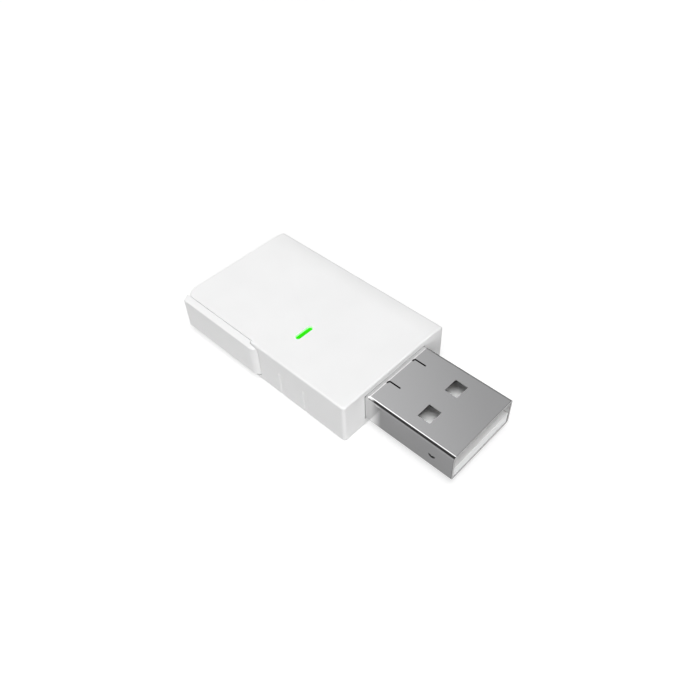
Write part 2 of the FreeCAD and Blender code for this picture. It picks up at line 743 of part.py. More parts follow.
def usb_shell():
    """Steel sheet folded into a tube: seam below, four windows, two J-slits, two crescents, two ears."""
    body = new_body("usb_shell")
    tube = sketch_on(body, "YZ_Plane", "plug_tail")
    rectangle(tube, "-plug_half", "plug_half", "plug_floor", "plug_top")
    pad(body, tube, "plug_length")
    for y in ("-plug_half", "plug_half"):
        for z in ("plug_floor", "plug_top"):
            fillet(body, ("plug_tail", y, z), ("plug_tip", y, z), "shell_corner")
    bore = sketch_on(body, "YZ_Plane", "plug_tip")
    inner = "plug_half - shell_thickness"
    rectangle(bore, "-(%s)" % inner, inner, "shell_floor", "shell_ceiling")
    pocket(body, bore, "plug_length")
    for y in ("-(%s)" % inner, inner):
        for z in ("shell_floor", "shell_ceiling"):
            fillet(body, ("plug_tail", y, z), ("plug_tip", y, z), "shell_corner - shell_thickness")

    # four windows, two above and two below
    for face, upward in (("plug_top", False), ("plug_floor", True)):
        windows = sketch_on(body, "XY_Plane", face)
        middle = "plug_tip - window_setback - window_length / 2"
        for y in ("-window_spacing / 2", "window_spacing / 2"):
            rectangle(windows, middle + " - window_length / 2", middle + " + window_length / 2",
                      y + " - window_width / 2", y + " + window_width / 2")
        pocket(body, windows, "shell_thickness", along_normal=upward)

    # J-shaped slits around the two sprung strips of the upper side
    slits = sketch_on(body, "XY_Plane", "plug_top")
    for y in ("jslit_middle - jslit_spacing / 2", "jslit_middle + jslit_spacing / 2"):
        start = "front + jslit_setback"
        polygon(slits, [(start, y + " - jslit_hook"), (start + " + jslit_width", y + " - jslit_hook"),
                        (start + " + jslit_width", y + " - 1.5 * jslit_width"),
                        (start + " + 1.5 * jslit_width", y + " - jslit_width"),
                        (start + " + jslit_length", y + " - jslit_width"),
                        (start + " + jslit_length", y), (start + " + jslit_width", y),
                        (start, y + " - jslit_width")])
    pocket(body, slits, "shell_thickness")

    # crescent-shaped lance in each short side
    for face, outward in (("plug_half", True), ("-plug_half", False)):
        mark = sketch_on(body, "XZ_Plane", face)
        crescent(mark)
        pocket(body, mark, "shell_thickness", along_normal=not outward)

    # butt seam of the folded sheet along the underside
    seam = sketch_on(body, "XY_Plane", "plug_floor")
    rectangle(seam, "plug_tail", "plug_tip", "-shell_seam / 2", "shell_seam / 2")
    pocket(body, seam, "shell_thickness", along_normal=True)

    # ears that lie on the board and are soldered to it
    ears = sketch_on(body, "XY_Plane", "board_top")
    for side in ("-1", "1"):
        near_edge, far_edge = "plug_half - shell_thickness / 2", "plug_half + ear_reach"
        spans = ["%s * (%s)" % (side, near_edge), "%s * (%s)" % (side, far_edge)]
        if side == "-1":
            spans.reverse()
        rectangle(ears, "plug_tail", "plug_tail + ear_length", spans[0], spans[1])
    pad(body, ears, "shell_thickness")
    return body


def crescent(sketch):
    """A smile-shaped outline between two arcs on one chord."""
    x, z = value("plug_tip - crescent_setback"), value("plug_top - crescent_drop")
    half, thick = value("crescent_width / 2"), value("crescent_thickness")
    ends = (FreeCAD.Vector(x - half, z, 0), FreeCAD.Vector(x + half, z, 0))
    lower = Part.Arc(ends[0], FreeCAD.Vector(x, z - 2 * thick, 0), ends[1])
    upper = Part.Arc(ends[1], FreeCAD.Vector(x, z - thick, 0), ends[0])
    sketch.addGeometry(lower, False)
    sketch.addGeometry(upper, False)
    for arc in (0, 1):
        tie(sketch, "DistanceX", arc, 1, "plug_tip - crescent_setback - crescent_width / 2")
        tie(sketch, "DistanceY", arc, 1, "plug_top - crescent_drop")
        tie(sketch, "DistanceX", arc, 2, "plug_tip - crescent_setback + crescent_width / 2")
        tie(sketch, "DistanceY", arc, 2, "plug_top - crescent_drop")


def contact_rows():
    """Plan offset and tip setback of each of the four contacts."""
    return (("-outer_pitch / 2", "power_setback"), ("-inner_pitch / 2", "signal_setback"),
            ("inner_pitch / 2", "signal_setback"), ("outer_pitch / 2", "power_setback"))


def usb_tongue():
    """Plastic tongue on the shell's floor, one piece with the block that closes its rear."""
    inner = "plug_half - shell_thickness - tongue_side_gap"
    across = ("-(%s)" % inner, inner)
    tongue_tip = "plug_tip - tongue_setback"
    tongue = box("tongue_bar", ("plug_tail", tongue_tip), across, ("shell_floor", "tongue_top"))
    rear_block = box("tongue_block", ("plug_tail", "block_front"), across, ("shell_floor", "shell_ceiling"))
    slots = []
    for number, (y, setback) in enumerate(contact_rows(), start=1):
        half = "contact_width / 2 + contact_gap"
        tip = "%s - %s + contact_gap" % (tongue_tip, setback)
        slots.append(box("contact_slot_%d" % number, ("plug_tail - contact_gap", tip),
                         ("%s - (%s)" % (y, half), "%s + %s" % (y, half)),
                         ("contact_floor", "contact_floor + contact_thickness + contact_gap")))
    # skin that covers the contacts from the windows to the rear, and relief for the shell's bends
    skin = box("tongue_skin", ("plug_tail", "plug_tip - contact_cover_setback"), across,
               ("shell_floor", "tongue_top + contact_cover_height"))
    relief = "shell_corner - shell_thickness"
    for side, (y0, y1) in (("near", ("-(%s)" % inner, "-(%s) + %s" % (inner, relief))),
                           ("far", ("%s - (%s)" % (inner, relief), inner))):
        for level, (z0, z1) in (("low", ("shell_floor", "shell_floor + " + relief)),
                                ("high", ("shell_ceiling - (%s)" % relief, "shell_ceiling"))):
            slots.append(box("bend_relief_%s_%s" % (side, level), ("plug_tail", "plug_tip"),
                             (y0, y1), (z0, z1)))
    solid = joined("tongue_solid", [tongue, skin, rear_block])
    return node(without("usb_tongue", solid, joined("tongue_cuts", slots)), "usb_tongue")


def usb_contact(number, y, setback):
    """Flat spring strip in the tongue with a bent-down nose and a solder tail on the board."""
    body = new_body("usb_contact_%d" % number)
    side = sketch_on(body, "XZ_Plane", "-(%s) - contact_width / 2" % y)
    tip = "plug_tip - tongue_setback - " + setback
    tail = "plug_tail - contact_tail"
    upper = "contact_floor + contact_thickness"
    polygon(side, [(tail, "contact_floor"), (tip, "contact_floor"),
                   (tip, upper + " - contact_nose"), (tip + " - 2 * contact_nose", upper), (tail, upper)])
    pad(body, side, "contact_width")
    return body


def shield_can():
    """Folded metal lid, open below, over the radio parts."""
    body = new_body("shield_can")
    half_x, half_y = "shield_length / 2", "shield_width / 2"
    outline = sketch_on(body, "XY_Plane", "board_top")
    rectangle(outline, "shield_x - " + half_x, "shield_x + " + half_x,
              "shield_y - " + half_y, "shield_y + " + half_y)
    pad(body, outline, "shield_height")
    for x in ("shield_x - " + half_x, "shield_x + " + half_x):
        for y in ("shield_y - " + half_y, "shield_y + " + half_y):
            fillet(body, (x, y, "board_top"), (x, y, "board_top + shield_height"), "shield_corner")
    room = sketch_on(body, "XY_Plane", "board_top")
    inset_x, inset_y = half_x + " - shield_thickness", half_y + " - shield_thickness"
    rectangle(room, "shield_x - (%s)" % inset_x, "shield_x + " + inset_x,
              "shield_y - (%s)" % inset_y, "shield_y + " + inset_y)
    pocket(body, room, "shield_height - shield_thickness", along_normal=True)
    return body


def chip(label, x, y, length, width, height):
    """A flat package that lies on the board."""
    return node(block(label, x, y, "board_top", length, width, height), label)


def voltage_regulator():
    """Small package with leads on two sides."""
    x, y = "supply_x", "regulator_y"
    lead = "regulator_lead"
    package = block("regulator_package", x, y, "board_top + regulator_height / 6",
                    "regulator_length", "regulator_width", "regulator_height * 5 / 6")
    leads = []
    for index, (side, step) in enumerate((("-1", "-1"), ("-1", "0"), ("-1", "1"), ("1", "-1"), ("1", "1"))):
        middle_x = "%s + %s * (regulator_length / 2 + %s / 2)" % (x, side, lead)
        middle_y = "%s + %s * regulator_width / 3" % (y, step)
        leads.append(block("regulator_lead_%d" % index, middle_x, middle_y, "board_top",
                           lead + " + regulator_length / 4", "regulator_width / 8", "regulator_height / 4"))
    return node(joined("voltage_regulator", [package] + leads), "voltage_regulator")


def group(label, places, length, width, height):
    """Like small parts in one node, each a separate solid on the board."""
    pieces = []
    for index, (x, y, turned) in enumerate(places):
        sides = (width, length) if turned else (length, width)
        pieces.append(block("%s_%d" % (label, index), x, y, "board_top", sides[0], sides[1], height))
    return node(joined(label, pieces), label)


def switch_body():
    """Housing of the side-push switch, open towards the key."""
    shell = block("switch_block", "switch_x", "switch_front + switch_depth / 2", "board_top",
                  "switch_length", "switch_depth", "switch_height")
    half_x, half_z = "plunger_width / 2 + plunger_gap", "plunger_height / 2 + plunger_gap"
    room = box("switch_room", ("switch_x - (%s)" % half_x, "switch_x + " + half_x),
               ("switch_front - plunger_gap", "switch_front + plunger_depth + dome_gap + dome_bow"),
               ("plunger_z - (%s)" % half_z, "plunger_z + " + half_z))
    return node(without("switch_body", shell, room), "switch_body")


def switch_frame():
    """Thin metal cover folded over the switch, with a foot at each end."""
    over = "board_top + switch_height"
    lid = block("frame_lid", "switch_x", "switch_front + switch_depth / 2", over,
                "switch_length + 2 * switch_frame_thickness", "switch_depth", "switch_frame_thickness")
    pieces = [lid]
    for side in ("-1", "1"):
        wall_x = "switch_x + %s * (switch_length / 2 + switch_frame_thickness / 2)" % side
        pieces.append(block("frame_side_" + side, wall_x, "switch_front + switch_depth / 2", "board_top",
                            "switch_frame_thickness", "switch_depth / 2", "switch_height"))
        foot_x = "switch_x + %s * (switch_length / 2 + switch_frame_foot / 2)" % side
        pieces.append(block("frame_foot_" + side, foot_x, "switch_front + switch_depth / 2", "board_top",
                            "switch_frame_foot", "switch_depth / 2", "switch_frame_thickness"))
    return node(joined("switch_frame", pieces), "switch_frame")


def switch_plunger():
    """Bar that the key pushes into the switch."""
    return node(box("switch_plunger", ("switch_x - plunger_width / 2", "switch_x + plunger_width / 2"),
                    ("plunger_tip", "switch_front + plunger_depth"),
                    ("plunger_z - plunger_height / 2", "plunger_z + plunger_height / 2")), "switch_plunger")


def switch_dome():
    """Bowed snap spring behind the plunger: a thin strip between two arcs."""
    item = doc.addObject("Part::Feature", "switch_dome")
    start = value("switch_front + plunger_depth + dome_gap")
    deep = value("dome_bow")
    thick = value("dome_thickness")
    half = value("plunger_width / 2")
    middle, floor = value("switch_x"), value("plunger_z - plunger_height / 2")
    front_arc = Part.Arc(FreeCAD.Vector(middle - half, start + deep - thick, floor),
                         FreeCAD.Vector(middle, start, floor),
                         FreeCAD.Vector(middle + half, start + deep - thick, floor))
    back_arc = Part.Arc(FreeCAD.Vector(middle + half, start + deep, floor),
                        FreeCAD.Vector(middle, start + thick, floor),
                        FreeCAD.Vector(middle - half, start + deep, floor))
    ends = [Part.LineSegment(front_arc.EndPoint, back_arc.StartPoint),
            Part.LineSegment(back_arc.EndPoint, front_arc.StartPoint)]
    edges = [front_arc.toShape(), ends[0].toShape(), back_arc.toShape(), ends[1].toShape()]
    strip = Part.Face(Part.Wire(edges))
    item.Shape = strip.extrude(FreeCAD.Vector(0, 0, value("plunger_height")))
    item.Placement = FreeCAD.Placement()
    return node(item, "switch_dome")


top_cover()
base_cover()
side_button()
light_pipe()
circuit_board()
usb_shell()
usb_tongue()
for number, (across, setback) in enumerate(contact_rows(), start=1):
    usb_contact(number, across, setback)
shield_can()
chip("radio_chip", "radio_x", "radio_y", "radio_side", "radio_side", "radio_height")
chip("flash_chip", "flash_x", "flash_y", "flash_length", "flash_width", "flash_height")
chip("crystal", "crystal_x", "crystal_y", "crystal_length", "crystal_width", "crystal_height")
antenna_x = "board_rear + antenna_inset + antenna_length / 2"
chip("chip_antenna", antenna_x, "0", "antenna_length", "antenna_width", "antenna_height")
voltage_regulator()
chip("power_inductor", "supply_x", "inductor_y", "inductor_side", "inductor_side", "inductor_height")
chip("esd_diode", "supply_x", "esd_y", "esd_length", "esd_width", "esd_height")
far_row, near_row = "board_half - far_row_inset", "-board_half + near_row_inset"
filters = [("filter_x", "board_half - filter_inset - %d * filter_pitch" % step, True) for step in range(3)]
group("capacitors", filters + [("shield_x - far_row_pitch", far_row, False),
                               ("filter_x", near_row + " + near_row_pitch", False)],
      "capacitor_length", "capacitor_width", "capacitor_width")
lamp_row = "slot_x - lamp_row_setback"
group("resistors", [(lamp_row, "slot_y + lamp_row_pitch / 2", True),
                    (lamp_row, "slot_y - lamp_row_pitch / 2", True),
                    ("shield_x", far_row, False), ("shield_x + far_row_pitch", far_row, False),
                    ("filter_x", near_row, False), ("supply_x", "pull_y", False)],
      "resistor_length", "resistor_width", "resistor_height")
chip("status_led", "slot_x", "slot_y", "led_width", "led_length", "led_height")
switch_body()
switch_frame()
switch_dome()
switch_plunger()

# Every feature has to be sound before anything is written
doc.recompute()
for item in doc.Objects:
    if "Invalid" in item.State or "Error" in item.State:
        raise RuntimeError("%s did not build" % item.Label)
for piece in NODES:
    if piece.Shape.isNull() or not piece.Shape.isValid():
        raise RuntimeError("%s has no sound shape" % piece.Label)

os.makedirs("parts", exist_ok=True)
for piece in NODES:
    piece.Shape.exportStep(os.path.join("parts", piece.Label + ".step"))
    print(piece.Label, len(piece.Shape.Solids), "solid(s), %.2f mm3" % piece.Shape.Volume)
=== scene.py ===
import json
import math

import bpy
from mathutils import Matrix, Vector


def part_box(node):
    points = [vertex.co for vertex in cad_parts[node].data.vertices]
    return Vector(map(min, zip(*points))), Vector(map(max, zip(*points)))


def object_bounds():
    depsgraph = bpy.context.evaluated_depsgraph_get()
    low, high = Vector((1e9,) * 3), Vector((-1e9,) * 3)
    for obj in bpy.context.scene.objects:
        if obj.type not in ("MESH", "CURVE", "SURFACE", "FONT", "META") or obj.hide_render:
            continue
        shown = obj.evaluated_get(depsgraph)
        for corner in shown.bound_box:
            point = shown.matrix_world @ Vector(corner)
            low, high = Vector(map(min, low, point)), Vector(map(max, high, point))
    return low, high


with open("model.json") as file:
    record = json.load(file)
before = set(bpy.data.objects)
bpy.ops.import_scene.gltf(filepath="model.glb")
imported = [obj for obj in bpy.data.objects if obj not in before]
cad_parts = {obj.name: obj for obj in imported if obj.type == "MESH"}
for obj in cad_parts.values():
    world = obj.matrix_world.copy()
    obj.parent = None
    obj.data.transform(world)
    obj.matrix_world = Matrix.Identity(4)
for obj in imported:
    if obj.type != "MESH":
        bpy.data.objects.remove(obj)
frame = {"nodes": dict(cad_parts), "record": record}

nodes = frame["nodes"]


def plain(box):
    """A box as plain lists of numbers."""
    return [[float(v) for v in corner] for corner in box]


cad_box = plain(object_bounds())


# What the places below are worked out from

housing_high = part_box("top_cover")[1]
pipe_low, pipe_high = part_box("light_pipe")
plug_low, plug_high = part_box("usb_shell")

# Half the plug's width, by its standard: the ears inside the housing make its box wider
plug_half = 0.006


def span(base, *steps):
    """Places at some steps from another place."""
    return tuple(base + step for step in steps)


# Camera, at the viewing angle of the photograph. Its place is counted from the housing's front end

CAMERA = {
    "azimuth": 44.869, "elevation": 46.951, "roll": -2.234,
    "across": 0.006139, "up": -0.006510, "distance": 0.092313,
    "focal_pixels": 677.2, "picture_pixels": 700, "sensor": 36,
    "nearest": 0.002, "farthest": 20,
}


def facing(azimuth, elevation):
    """The axes, as columns, of what faces the object. At 0, 0 it stands straight before the near side."""
    az, el = math.radians(azimuth), math.radians(elevation)
    back = Vector((math.sin(az) * math.cos(el), -math.cos(az) * math.cos(el), math.sin(el)))
    side = Vector((0, 0, 1)).cross(back).normalized()
    return Matrix((side, back.cross(side), back)).transposed()


def place_camera():
    """Sets the scene's camera where the photograph was taken from."""
    roll = Matrix.Rotation(math.radians(CAMERA["roll"]), 3, "Z")
    turn = facing(CAMERA["azimuth"], CAMERA["elevation"]) @ roll
    front_end = Vector((housing_high.x, 0, 0))
    eye = front_end - turn @ Vector((CAMERA["across"], CAMERA["up"], -CAMERA["distance"]))
    data = bpy.data.cameras.new("view")
    data.sensor_fit = "HORIZONTAL"
    data.sensor_width = CAMERA["sensor"]
    data.lens = CAMERA["sensor"] * CAMERA["focal_pixels"] / CAMERA["picture_pixels"]
    data.clip_start = CAMERA["nearest"]
    data.clip_end = CAMERA["farthest"]
    camera = bpy.data.objects.new("view", data)
    camera.matrix_world = Matrix.Translation(eye) @ turn.to_4x4()
    bpy.context.scene.collection.objects.link(camera)
    bpy.context.scene.camera = camera


# Node materials

WHITE = (1, 1, 1, 1)

# Half the width over which a tone by place begins or ends, and a place beyond everything
SOFT = 0.00004
CRISP = 0.00001
BEYOND = 1

# The values between which most of a noise lies
NOISE = (0.3, 0.7)

# Metal's rubbed edges: their width, the samples that find them, and how well rounded and flat normals agree
RUBBED = {"radius": 0.00012, "samples": 6, "agreement": (0.75, 1.0)}


def grey(level):
    return (level, level, level)


def shade(color, factor):
    return tuple(c * factor for c in color)


class Tree:
    """A node tree with short calls for the nodes that this scene uses."""

    def __init__(self, tree):
        self.tree = tree

    def add(self, kind, **inputs):
        node = self.tree.nodes.new(kind)
        for name, value in inputs.items():
            self.put(node, name, value)
        return node

    def put(self, node, name, value):
        socket = node.inputs[name]
        if isinstance(value, bpy.types.NodeSocket):
            self.tree.links.new(value, socket)
        else:
            socket.default_value = value

    def ramp(self, value, across, low, high):
        """From one number to another while the value goes across a span."""
        node = self.add("ShaderNodeMapRange")
        self.put(node, "Value", value)
        for name, number in zip(("From Min", "From Max", "To Min", "To Max"), (*across, low, high)):
            self.put(node, name, number)
        return node.outputs["Result"]

    def above(self, value, across):
        return self.ramp(value, across, 0, 1)

    def below(self, value, across):
        return self.ramp(value, across, 1, 0)

    def within(self, value, limits, soft=SOFT):
        """1 where a value lies between two limits."""
        low, high = limits
        begins = self.above(value, span(low, -soft, soft))
        return self.every(begins, self.below(value, span(high, -soft, soft)))

    def math(self, operation, first, second):
        node = self.add("ShaderNodeMath")
        node.operation = operation
        self.put(node, 0, first)
        self.put(node, 1, second)
        return node.outputs["Value"]

    def every(self, first, *others):
        """1 where all of the shares are 1."""
        for other in others:
            first = self.math("MULTIPLY", first, other)
        return first

    def any(self, first, *others):
        """1 where one of the shares is 1."""
        for other in others:
            first = self.math("MAXIMUM", first, other)
        return first

    def vector_math(self, operation, *inputs):
        node = self.add("ShaderNodeVectorMath")
        node.operation = operation
        for index, value in enumerate(inputs):
            self.put(node, index, value)
        return node.outputs["Value"]


class Surface(Tree):
    """A procedural material, built up from a shader and the noises that vary it."""

    def __init__(self, name, color, roughness, metallic=0.0):
        self.material = bpy.data.materials.new(name)
        self.material.use_nodes = True
        super().__init__(self.material.node_tree)
        self.shader = self.tree.nodes["Principled BSDF"]
        self.set(Base_Color=(*color, 1), Roughness=roughness, Metallic=metallic)
        self.color = color
        self.roughness = roughness
        self.place = self.add("ShaderNodeTexCoord").outputs["Object"]
        self.normal = None

    def set(self, **values):
        """Uniform values, or sockets to follow, for the shader."""
        for name, value in values.items():
            self.put(self.shader, name.replace("_", " "), value)

    def axes(self):
        """Where a point of the surface lies along X, Y and Z."""
        return self.add("ShaderNodeSeparateXYZ", Vector=self.place).outputs

    def texture(self, kind, **inputs):
        return self.add("ShaderNodeTex" + kind, Vector=self.place, **inputs)

    def noise(self, per_metre, detail=2.0, stretch=(1, 1, 1)):
        mapping = self.add("ShaderNodeMapping", Vector=self.place, Scale=stretch).outputs["Vector"]
        return self.add("ShaderNodeTexNoise", Scale=per_metre, Detail=detail, Vector=mapping).outputs["Fac"]

    def mix(self, share, first, second):
        node = self.add("ShaderNodeMix")
        node.data_type = "RGBA"
        self.put(node, 0, share)
        for index, color in ((6, first), (7, second)):
            self.put(node, index, (*color, 1) if isinstance(color, tuple) else color)
        return node.outputs[2]

    def paint(self, share, color):
        """Another colour over the present one, where the share is 1."""
        present = self.shader.inputs["Base Color"].links[0].from_socket
        self.set(Base_Color=self.mix(share, present, color))

    def bump(self, height, distance, strength):
        node = self.add("ShaderNodeBump", Height=height, Distance=distance, Strength=strength)
        if self.normal is not None:
            self.put(node, "Normal", self.normal)
        self.normal = node.outputs["Normal"]
        self.set(Normal=self.normal)

    def vary_roughness(self, value, spread):
        self.set(Roughness=self.ramp(value, NOISE, *span(self.roughness, -spread, spread)))

    def vary_color(self, value, other, across=NOISE):
        self.set(Base_Color=self.mix(self.above(value, across), self.color, other))

    def edge(self):
        """Near 1 on the outer edges of a shape, 0 on its flats."""
        bevel = self.add("ShaderNodeBevel", Radius=RUBBED["radius"])
        bevel.samples = RUBBED["samples"]
        flat = self.add("ShaderNodeNewGeometry").outputs["Normal"]
        agreement = self.vector_math("DOT_PRODUCT", bevel.outputs["Normal"], flat)
        return self.below(agreement, RUBBED["agreement"])


def moulded(name, color, roughness=0.42, grain=3800.0, depth=4e-6, drift=0.97):
    """Moulded plastic: a fine satin grain, a slow drift in tone and faint polish marks."""
    surface = Surface(name, color, roughness)
    surface.set(IOR=1.46)
    surface.vary_color(surface.noise(per_metre=130.0), shade(color, drift))
    surface.vary_roughness(surface.noise(per_metre=420.0, detail=3.0), spread=0.03)
    surface.bump(surface.noise(per_metre=grain, detail=3.0), distance=depth, strength=0.35)
    return surface


# Places on the housing where shade and a glow are painted: where its walls turn in to the top, the small
# round along its far side, and the walls of the slot, which stand a step in from the light pipe's flange

UPPER_EDGE = span(housing_high.z, -0.0010, -0.0007)
FAR_ROUND = span(housing_high.y, -0.0006, -0.0003)
SLOT = {"inset": 0.00041, "depth": 0.0009, "rim": 0.00005, "soft": 0.00003}
# Painted glow on the slot's walls: emission standing in for the light pipe's green light falling on them
SLOT_PAINTED_GLOW = {"color": (0.45, 1.0, 0.40, 1), "strength": 0.38}


def housing_white():
    """Painted shade greys the far side's small round; a painted glow on the slot's walls stands in for the
    lamp's light.
    """
    surface = moulded("housing_white", grey(0.90))
    x, y, z = surface.axes()
    # Painted shade: the small round along the far side is greyer
    surface.paint(surface.every(surface.above(y, FAR_ROUND), surface.above(z, UPPER_EDGE)), grey(0.78))
    inset = SLOT["inset"]
    slot = surface.every(
        surface.within(x, (pipe_low.x + inset, pipe_high.x - inset)),
        surface.within(y, (pipe_low.y + inset, pipe_high.y - inset)),
        surface.within(z, span(housing_high.z, -SLOT["depth"], -SLOT["rim"]), SLOT["soft"]))
    # Painted glow: the slot's walls glow as if lit by the light pipe
    glow = surface.math("MULTIPLY", slot, SLOT_PAINTED_GLOW["strength"])
    surface.set(Emission_Color=SLOT_PAINTED_GLOW["color"], Emission_Strength=glow)
    return surface


def key_white():
    """As the housing, with painted shade that makes the slope along its upper edge a touch greyer."""
    surface = moulded("key_white", grey(0.90), roughness=0.40, grain=4200.0)
    z = surface.axes()[2]
    # Painted shade on the slope along the upper edge
    surface.paint(surface.above(z, UPPER_EDGE), grey(0.885))
    return surface


def brushed(name, color, roughness, along, lines):
    """Rolled and brushed sheet metal: fine lines, a cloudy polish and brighter rubbed edges."""
    surface = Surface(name, color, roughness, metallic=1.0)
    streaks = surface.noise(per_metre=lines, stretch=along)
    surface.vary_color(surface.noise(per_metre=260.0, detail=3.0), shade(color, 0.95))
    surface.paint(surface.edge(), shade(color, 1.12))
    surface.vary_roughness(streaks, spread=roughness / 8)
    surface.bump(streaks, distance=1.5e-6, strength=0.3)
    return surface


# Places on the plug where light and shade are painted: along X and up along Z. "Off" is the distance from
# its middle plane

TOP = span(plug_high.z, -0.00003, -0.00001)
ROOT = span(housing_high.x, 0.00043, 0.00055)
CUT_END = span(plug_high.x, -0.000010, -0.000002)
BESIDE_HOUSING = {"x": span(housing_high.x, 0.00105, 0.00265), "y": span(-plug_half, 0.00005, 0.00015)}
MOUTH = {
    "x": span(plug_high.x, -0.00495, -0.00001), "off": (-BEYOND, plug_half - 0.00028),
    "z": (plug_low.z + 0.00018, plug_high.z - 0.00026),
}
RIM = {"y": span(-plug_half, 0.00040, 0.00052), "z": span(plug_high.z, -0.00022, -0.00012)}
BEND = {
    "x": span(housing_high.x, 0.00095, 0.00145), "off": (plug_half - 0.00038, BEYOND),
    "z": (plug_high.z - 0.00012, BEYOND), "fades": (-0.001, 0.001), "far_share": 0.4,
}
SLITS = {
    "x": (-BEYOND, housing_high.x + 0.00305), "off": (-BEYOND, plug_half - 0.0014),
    "z": (plug_low.z + 0.00038, plug_high.z - 0.00004),
}
LIP = {"x": span(plug_high.x, -0.00007, -0.00002), "share": 0.6}
CRESCENT = {
    "middle": (plug_high.x - 0.00315, 0, plug_high.z - 0.00220), "ring": (0.00014, 0.00054),
    "off": (plug_half - 0.00040, BEYOND),
}

# The steel's own tone and its painted light and shade, and how much less metallic the faces inside the mouth
# are
STEEL = {
    "base": (0.30, 0.30, 0.303), "top": (0.255, 0.255, 0.258), "light": grey(0.80), "rim": grey(0.75),
    "painted_dark": grey(0.006), "cut_end": grey(0.74), "mouth_dull": 0.75,
}


def plug_steel():
    """Nickel-plated sheet, with light and shade painted on by place.

    Painted shade makes the top darker. Painted light: a painted reflection of the housing's wall on the near
    side by the housing, the light faces inside the mouth, a painted highlight on the rim along the near
    bend, and the light cut end. A painted reflection darkens the line under that rim, fainter along the far
    bend, and painted shade blackens the inner lip at the tip, the walls of the slits and the crescents.
    """
    surface = brushed("plug_steel", STEEL["base"], roughness=0.12, along=(0.02, 1, 1), lines=9000.0)
    surface.set(Specular_Tint=(*grey(0.35), 1))
    x, y, z = surface.axes()
    off = surface.math("ABSOLUTE", y, 0.0)
    # Painted shade: the top is darker than the sides
    surface.paint(surface.above(z, TOP), STEEL["top"])

    # Painted reflection of the housing's wall on the near side by the housing and at the plug's root
    near_side = surface.below(y, BESIDE_HOUSING["y"])
    painted_wall_reflection = surface.any(surface.every(near_side, surface.below(x, BESIDE_HOUSING["x"])),
                         surface.below(x, ROOT))
    # Painted light on the faces inside the mouth, which are also made partly less metallic
    mouth = surface.every(surface.within(off, MOUTH["off"]), surface.within(x, MOUTH["x"]),
                          surface.within(z, MOUTH["z"]))
    surface.paint(surface.any(painted_wall_reflection, mouth), STEEL["light"])
    # Painted highlight: a light rim along the near bend
    rim = surface.every(surface.within(y, RIM["y"], CRISP), surface.above(z, RIM["z"]))
    surface.paint(rim, STEEL["rim"])

    # Painted reflection: a near-black line under the rim, fainter along the far bend
    bend = surface.every(surface.within(z, BEND["z"], CRISP), surface.above(x, BEND["x"]),
                         surface.within(off, BEND["off"], CRISP),
                         surface.ramp(y, BEND["fades"], 1, BEND["far_share"]))
    # Painted shade on the walls of the slits
    slits = surface.every(surface.within(z, SLITS["z"]), surface.within(x, SLITS["x"]),
                          surface.within(off, SLITS["off"]))
    # Painted shade on the inner lip at the tip
    lip = surface.math("MULTIPLY", surface.within(x, LIP["x"], CRISP), LIP["share"])
    # Painted shade around the crescents
    upright = surface.add("ShaderNodeCombineXYZ", X=x, Z=z).outputs["Vector"]
    away = surface.vector_math("DISTANCE", upright, CRESCENT["middle"])
    crescents = surface.every(surface.within(away, CRESCENT["ring"], CRISP),
                              surface.within(z, (-BEYOND, CRESCENT["middle"][2])),
                              surface.within(off, CRESCENT["off"]))
    # The painted shade and reflections, in one near-black tone that is not metallic, as in part are the
    # mouth's faces
    painted_dark = surface.any(slits, bend, lip, crescents)
    surface.paint(painted_dark, STEEL["painted_dark"])
    dull = surface.any(painted_dark, surface.math("MULTIPLY", mouth, STEEL["mouth_dull"]))
    surface.set(Metallic=surface.math("SUBTRACT", 1.0, dull))
    # Painted light on the cut end
    surface.paint(surface.above(x, CUT_END), STEEL["cut_end"])
    return surface


def light_pipe_green():
    """Clear moulding lit from below: a cloudy green with a faint glow."""
    color = (0.030, 0.76, 0.002)
    surface = Surface("light_pipe_green", color, roughness=0.28)
    cloud = surface.noise(per_metre=900.0)
    surface.vary_color(cloud, shade(color, 0.9))
    glow = surface.mix(surface.above(cloud, NOISE), color, shade(color, 0.93))
    surface.set(Emission_Color=glow, Emission_Strength=0.08, Specular_IOR_Level=0.05)
    surface.bump(surface.noise(per_metre=2500.0), distance=2e-6, strength=0.2)
    return surface


def board_green():
    """Green solder mask over copper tracks, with the weave of the glass cloth under it."""
    color = (0.012, 0.13, 0.045)
    surface = Surface("board_green", color, roughness=0.34)
    surface.set(IOR=1.5)
    tracks = surface.texture("Voronoi", Scale=900.0, Randomness=0.35)
    tracks.feature = "DISTANCE_TO_EDGE"
    copper = surface.below(tracks.outputs["Distance"], (0.05, 0.11))
    surface.set(Base_Color=surface.mix(copper, color, (0.04, 0.28, 0.07)))
    surface.bump(copper, distance=8e-6, strength=0.4)
    weave = surface.texture("Wave", Scale=2200.0, Distortion=0.4).outputs["Fac"]
    surface.bump(weave, distance=2e-6, strength=0.2)
    return surface


def contact_gold():
    return brushed("contact_gold", (0.83, 0.58, 0.22), roughness=0.25, along=(0.05, 1, 1), lines=7000.0)


def shield_steel():
    return brushed("shield_steel", (0.62, 0.63, 0.64), roughness=0.30, along=(1, 0.05, 1), lines=6000.0)


# Where the painted shade on the tongue's rear part goes over into the white of the plug's mouth
TONGUE_REAR = span(housing_high.x, 0.00325, 0.00365)


def tongue_white():
    """Moulded white, with painted shade at its hidden rear end under the slits of the plug."""
    surface = moulded("tongue_white", grey(0.90), roughness=0.5, grain=3000.0)
    x = surface.axes()[0]
    # Painted shade: the hidden rear end, seen through the slits, is near black
    surface.paint(surface.below(x, TONGUE_REAR), grey(0.03))
    return surface


def chip_black():
    """Moulded epoxy: dull, with a sandblasted grain."""
    return moulded("chip_black", (0.022, 0.022, 0.024), roughness=0.55, grain=6500.0, depth=6e-6, drift=1.5)


